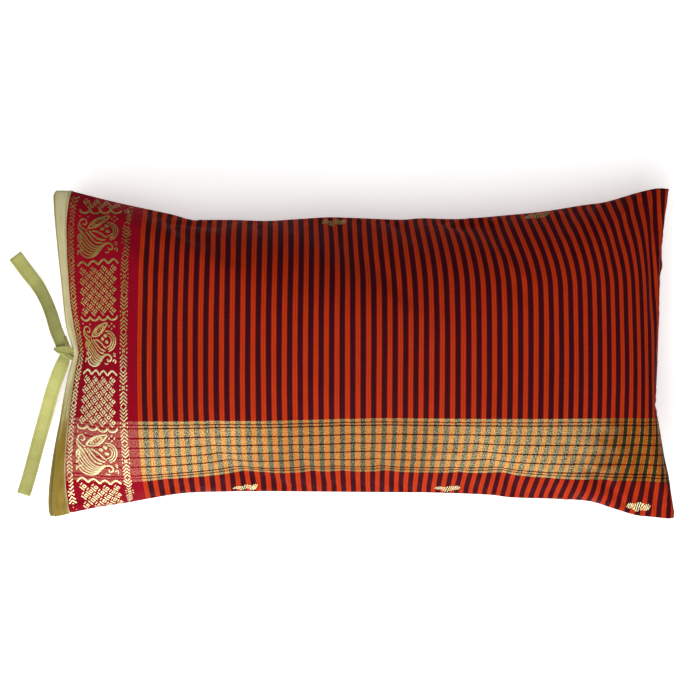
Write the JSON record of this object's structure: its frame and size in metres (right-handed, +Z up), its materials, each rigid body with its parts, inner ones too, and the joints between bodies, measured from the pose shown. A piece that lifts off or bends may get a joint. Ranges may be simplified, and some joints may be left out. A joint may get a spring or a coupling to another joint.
{
  "type": "lumbar pillow",
  "caption": "Filled lumbar pillow in striped woven cloth with a brocade border; its open end is edged with a satin band and held shut by knotted ties.",
  "frame": {"origin": "on the surface under the middle of the pillow, at the centre of its flat rest face", "axes": "+X along the pillow away from the open end, +Y across it towards its top seam, +Z up out of its face"},
  "size_m": [0.6512, 0.323, 0.13],
  "materials": {
    "sari_cloth": "fine plain weave in warp stripes of orange and maroon on crimson, with a gold-thread border",
    "band_satin": "satin weave with a soft sheen, pale green to old gold",
    "tie_cotton": "matt cotton, folded and edge-stitched"
  },
  "bodies": {
    "root": {"filled_cover": "sari_cloth", "opening_band_front": "band_satin", "opening_band_back": "band_satin", "tie_knot": "tie_cotton", "tie_upper_tail": "tie_cotton", "tie_lower_tail": "tie_cotton"}
  },
  "joints": []
}
